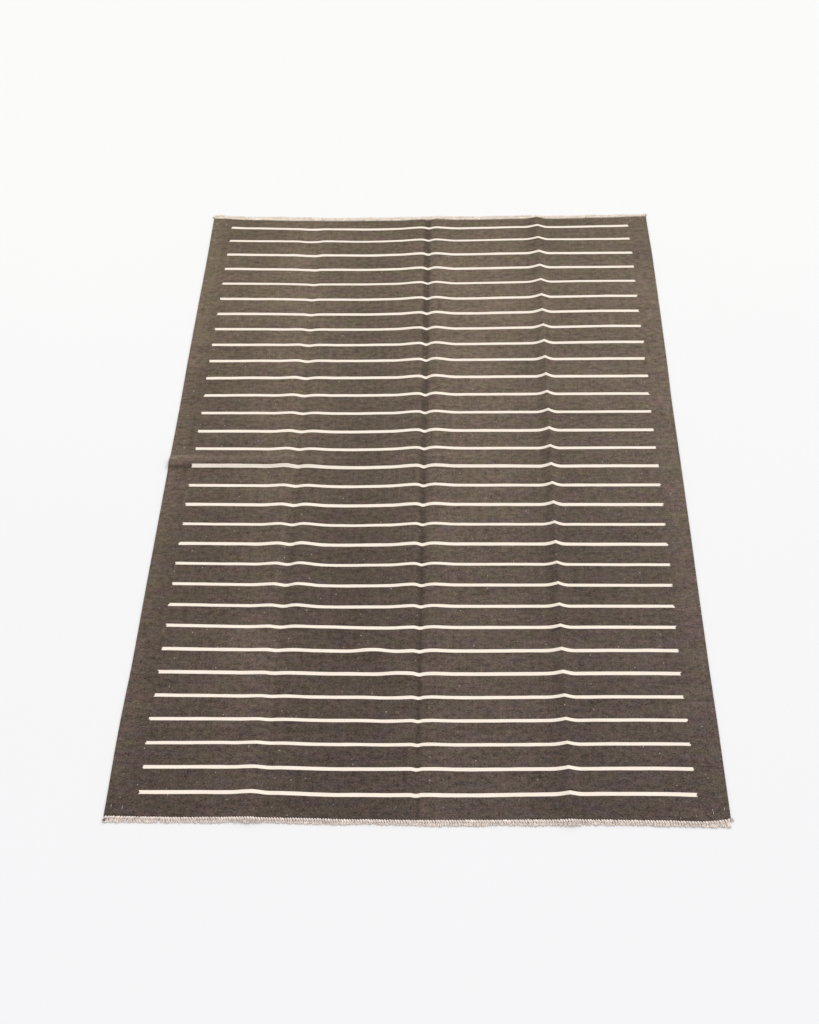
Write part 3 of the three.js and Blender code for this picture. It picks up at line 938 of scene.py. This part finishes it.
# Warp yarn: sizes of its grain and patches in metres, how often its plies turn along a strand and around it,
# and how much the twist and the patches show
WARP_GRAIN = (0.004, 0.004, 0.004)
WARP_PATCH = dict(size=(0.05, 0.02, 0.02), start=(5, 0, 0), amount=0.4)
WARP_TWIST = dict(turns=1.5, plies=2, amount=0.12)
WARP_RELIEF = dict(twist=0.5, strength=0.4, depth=0.0005)
# Between these values of the grain the yarn goes from its shade to its full colour
WARP_SHADE_GRAIN = (0.25, 0.6)
# Between these places along the rug, in metres, the colours go from near to far
ECRU_RUN = (-1.0, 1.0)
FLOOR_RUN = (-2.5, 3.0)
# Roughness of the yarns: values of the grain, and the roughness that goes with each
WOOL_ROUGHNESS = (0.2, 0.8, 0.98, 0.86)
WARP_ROUGHNESS = (0.3, 0.7, 0.98, 0.88)
# Floor: half its side and its level, just under the rug, and its faint clouds
FLOOR = dict(half=15000.0, level=-0.4, cloud=1.8, cloud_amount=0.016)


def stripe_mask(finish, across, run):
    """1 on the ivory stripes: the distance from the nearest stripe's middle line against half its width,
    between its two ends, with uneven edges and ends."""
    index = finish.math("FLOOR", finish.math("ADD", run, 0.5))
    chance = finish.node("ShaderNodeTexWhiteNoise", {"W": index}, noise_dimensions="1D")
    split = finish.node("ShaderNodeSeparateColor", {"Color": chance.outputs["Color"]})
    off = finish.math("MULTIPLY", finish.math("SUBTRACT", run, index), STRIPE_PITCH)
    along_edge = finish.node("ShaderNodeCombineXYZ", {"X": across, "Y": index, "Z": 0.0}).outputs[0]
    sway = finish.noise(along_edge, (STRIPE_EDGE["sway_length"], 1, 1), detail=3)
    swaying = finish.either_way(sway, STRIPE_EDGE["sway"])
    widens = finish.noise(along_edge, (STRIPE_EDGE["widens_length"], 1, 1), detail=3, offset=(31, 0, 0))
    own_half = finish.either_way(split.outputs[0], STRIPE_EDGE["widens_by_chance"], STRIPE_HALF_WIDTH)
    half = finish.math("ADD", own_half, finish.either_way(widens, STRIPE_EDGE["widens"]))
    inside = finish.math("SUBTRACT", half, finish.math("ABSOLUTE", finish.math("ADD", off, swaying)))
    mask = finish.between(inside, -STRIPE_EDGE["soft_edge"], STRIPE_EDGE["soft_edge"])
    pick = finish.math("FLOOR", finish.math("DIVIDE", off, STRIPE_EDGE["pick"]))
    pick_place = finish.node("ShaderNodeCombineXYZ", {"X": pick, "Y": index, "Z": 0.0}).outputs[0]
    pick_chance = finish.node("ShaderNodeTexWhiteNoise", {"Vector": pick_place}, noise_dimensions="2D")
    uneven = finish.either_way(pick_chance.outputs["Value"], STRIPE_EDGE["pick_stray"])
    for side, stray in (("left", split.outputs[1]), ("right", split.outputs[2])):
        strays = finish.either_way(stray, STRIPE_STRAY)
        within = finish.math("ADD", finish.values("from_" + side), finish.math("ADD", strays, uneven))
        on_run = finish.between(within, -STRIPE_EDGE["soft_end"], STRIPE_EDGE["soft_end"])
        mask = finish.math("MULTIPLY", mask, on_run)
    return mask


def blotch_shift(finish, place, row):
    """A colour to multiply by: none outside the blotches, and the row's own shift inside them."""
    blotch = finish.noise(place, row["size"], detail=3, offset=row["start"])
    return finish.mix(finish.between(blotch, row["begins"], row["full"]), NO_SHIFT, row["shift"])


def weave_finish():
    """Weft-faced wool: heathered brown yarn with faint bands of its dye lots, ivory stripes, a few pale
    flecks, and the ribs of weft and warp as bump."""
    finish = Finish("weft_faced_wool")
    place = finish.node("ShaderNodeUVMap", uv_map="weave").outputs[0]
    parts = finish.node("ShaderNodeSeparateXYZ", {"Vector": place})
    across = parts.outputs[0]
    along = parts.outputs[1]
    stripes = stripe_mask(finish, across, finish.values("stripe_run"))

    far_share = finish.between(along, -HALF_LENGTH * MM, HALF_LENGTH * MM, smooth=False)
    brown = finish.mix(far_share, NEAR_BROWN, FAR_BROWN)
    right_share = finish.between(across, -HALF_WIDTH * MM, HALF_WIDTH * MM, smooth=False)
    brown = finish.mix(1.0, brown, finish.mix(right_share, LEFT_SHIFT, RIGHT_SHIFT), "MULTIPLY")
    for row in BLOTCHES:
        brown = finish.mix(1.0, brown, blotch_shift(finish, place, row), "MULTIPLY")
    slate = finish.mix(1.0, brown, blotch_shift(finish, place, SLATE_BLOTCH), "MULTIPLY")
    brown = finish.mix(finish.between(far_share, 0.0, 1.0, 1.0, SLATE_FAR_SHARE), brown, slate)
    grains = {row["name"]: finish.noise(place, row["size"], row["detail"], row["rough"], row["start"])
              for row in GRAINS}
    tone = 1.0
    for row in GRAINS:
        amount = finish.math("MULTIPLY_ADD", far_share, row["far"] - row["near"], row["near"])
        tone = finish.math("MULTIPLY_ADD", finish.math("SUBTRACT", grains[row["name"]], 0.5), amount, tone)
    # The mesh's tone carries wear and dye spots and also painted light, shade and sheen of the panels, folds
    # and far end
    tone = finish.math("MAXIMUM", finish.math("MULTIPLY", tone, finish.values("tone")), DARKEST_TONE)
    field = finish.scaled(brown, tone)

    cells = finish.node("ShaderNodeMapping", {"Vector": place, "Scale": FLECKS["cells"]}).outputs[0]
    fleck = finish.node("ShaderNodeTexVoronoi", {"Vector": cells, "Scale": 1.0}, voronoi_dimensions="2D")
    fleck_chance = finish.node("ShaderNodeSeparateColor", {"Color": fleck.outputs["Color"]})
    few = finish.between(fleck_chance.outputs[0], FLECKS["rare"], FLECKS["rarest"])
    small = finish.between(fleck.outputs["Distance"], FLECKS["edge"], FLECKS["core"])
    field = finish.mix(finish.math("MULTIPLY", few, small), field, PALE_FLECK)

    ivory_tone = finish.either_way(grains["streak"], IVORY_STREAK / 2, 1.0)
    ivory = finish.scaled(IVORY, ivory_tone)
    colour = finish.mix(stripes, field, ivory)
    finish.feed(finish.shader.inputs["Base Color"], colour)
    finish.feed(finish.shader.inputs["Roughness"], finish.between(grains["heather"], *WOOL_ROUGHNESS))

    weft = finish.math("SINE", finish.math("MULTIPLY", along, 2 * math.pi / WEFT_PITCH))
    warp = finish.math("SINE", finish.math("MULTIPLY", across, 2 * math.pi / WARP_PITCH))
    woven = finish.math("MULTIPLY", weft, WEAVE_RELIEF["weft"])
    woven = finish.math("MULTIPLY_ADD", warp, WEAVE_RELIEF["warp"], woven)
    surface = finish.math("MULTIPLY_ADD", grains["heather"], WEAVE_RELIEF["heather"], woven)
    finish.relief(surface, WEAVE_RELIEF)
    finish.shader.inputs["Specular IOR Level"].default_value = 0.12
    finish.shader.inputs["Sheen Weight"].default_value = 0.06
    finish.shader.inputs["Sheen Roughness"].default_value = 0.45
    finish.shader.inputs["Sheen Tint"].default_value = WOOL_SHEEN
    return finish.material


def warp_finish():
    """Undyed warp yarn: ecru, a little different from lock to lock, with the twist of the yarn as slanting
    darker lines and bump."""
    finish = Finish("undyed_warp_yarn")
    place = finish.node("ShaderNodeTexCoord").outputs["Object"]
    grain = finish.noise(place, WARP_GRAIN, detail=3)
    patch = finish.noise(place, WARP_PATCH["size"], detail=2, offset=WARP_PATCH["start"])
    turn = finish.math("MULTIPLY_ADD", finish.values("onward"), WARP_TWIST["turns"], finish.values("around"))
    twist = finish.math("SINE", finish.math("MULTIPLY", turn, 2 * math.pi * WARP_TWIST["plies"]))
    twisted = finish.math("MULTIPLY_ADD", twist, WARP_TWIST["amount"], grain)
    share = finish.between(twisted, *WARP_SHADE_GRAIN)
    along = finish.node("ShaderNodeSeparateXYZ", {"Vector": place}).outputs[1]
    ecru = finish.mix(finish.between(along, *ECRU_RUN), NEAR_ECRU, FAR_ECRU)
    yarn = finish.mix(share, ECRU_SHADE, ecru)
    yarn = finish.mix(finish.values("brown"), yarn, TUFT_BROWN)
    patch_tone = finish.either_way(patch, WARP_PATCH["amount"] / 2, 1.0)
    shade = finish.math("MULTIPLY", finish.values("shade"), patch_tone)
    finish.feed(finish.shader.inputs["Base Color"], finish.scaled(yarn, shade))
    finish.feed(finish.shader.inputs["Roughness"], finish.between(grain, *WARP_ROUGHNESS))
    finish.relief(finish.math("MULTIPLY_ADD", twist, WARP_RELIEF["twist"], grain), WARP_RELIEF)
    finish.shader.inputs["Specular IOR Level"].default_value = 0.2
    return finish.material


def floor_finish():
    """A plain pale floor, faintly uneven and a little paler to the far side."""
    finish = Finish("pale_floor")
    place = finish.node("ShaderNodeTexCoord").outputs["Object"]
    cloud = finish.noise(place, (FLOOR["cloud"],) * 3, detail=2)
    along = finish.node("ShaderNodeSeparateXYZ", {"Vector": place}).outputs[1]
    pale = finish.mix(finish.between(along, *FLOOR_RUN), NEAR_FLOOR, FAR_FLOOR)
    cloudy = finish.scaled(pale, finish.either_way(cloud, FLOOR["cloud_amount"] / 2, 1.0))
    finish.feed(finish.shader.inputs["Base Color"], cloudy)
    finish.shader.inputs["Roughness"].default_value = 0.9
    finish.shader.inputs["Specular IOR Level"].default_value = 0.1
    return finish.material


# Stage

def make_floor():
    """A wide plain floor just under the rug."""
    corner_signs = np.array([[-1, -1], [1, -1], [1, 1], [-1, 1]])
    corners = np.column_stack([FLOOR["half"] * corner_signs, np.full(4, FLOOR["level"])])
    floor = mesh_piece("floor", corners, np.array([[0, 1, 2, 3]]), floor_finish())
    return floor


def light_studio():
    """Even white surroundings, and one wide soft light from the far side, a little to the right."""
    world = bpy.data.worlds.new("studio")
    world.use_nodes = True
    world.node_tree.nodes["Background"].inputs["Color"].default_value = (1.0, 1.0, 1.0, 1)
    world.node_tree.nodes["Background"].inputs["Strength"].default_value = SURROUNDINGS
    bpy.context.scene.world = world
    light = bpy.data.lights.new("soft_key", "SUN")
    light.energy = KEY_LIGHT["power"]
    light.angle = math.radians(KEY_LIGHT["spread"])
    lamp = bpy.data.objects.new("soft_key", light)
    lamp.rotation_euler = Vector(KEY_LIGHT["comes_from"]).to_track_quat("Z", "Y").to_euler()
    bpy.context.collection.objects.link(lamp)
    bpy.context.scene.view_settings.view_transform = "Standard"
    bpy.context.scene.view_settings.look = "None"


def place_camera():
    """The camera's axes from its pitch, yaw and roll: it looks along forward, and right and up turn about
    that by the roll."""
    pitch, yaw, roll = (math.radians(CAMERA[name]) for name in ("pitch", "yaw", "roll"))
    forward = Vector((math.sin(yaw) * math.cos(pitch), math.cos(yaw) * math.cos(pitch), -math.sin(pitch)))
    level = Vector((math.cos(yaw), -math.sin(yaw), 0))
    right = math.cos(roll) * level + math.sin(roll) * level.cross(forward)
    up = right.cross(forward)
    lens = bpy.data.cameras.new("camera")
    lens.lens = CAMERA["lens"]
    lens.sensor_width = CAMERA["sensor"]
    camera = bpy.data.objects.new("camera", lens)
    camera.matrix_world = Matrix((
        (right.x, up.x, -forward.x, CAMERA["place"][0] * MM),
        (right.y, up.y, -forward.y, CAMERA["place"][1] * MM),
        (right.z, up.z, -forward.z, CAMERA["place"][2] * MM),
        (0, 0, 0, 1),
    ))
    bpy.context.collection.objects.link(camera)
    bpy.context.scene.camera = camera


place_camera()
light_studio()
make_floor()
cloth = make_cloth(weave_finish())
warp_yarn = warp_finish()
far_fringe = make_fringe("far", 1, warp_yarn)
near_fringe = make_fringe("near", -1, warp_yarn)

for piece, node, slot in (
    (cloth, "kilim_cloth", "wool_weave"),
    (far_fringe, "fringe_far", "warp_yarn"),
    (near_fringe, "fringe_near", "warp_yarn"),
):
    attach(piece, "root")
    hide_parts(node)
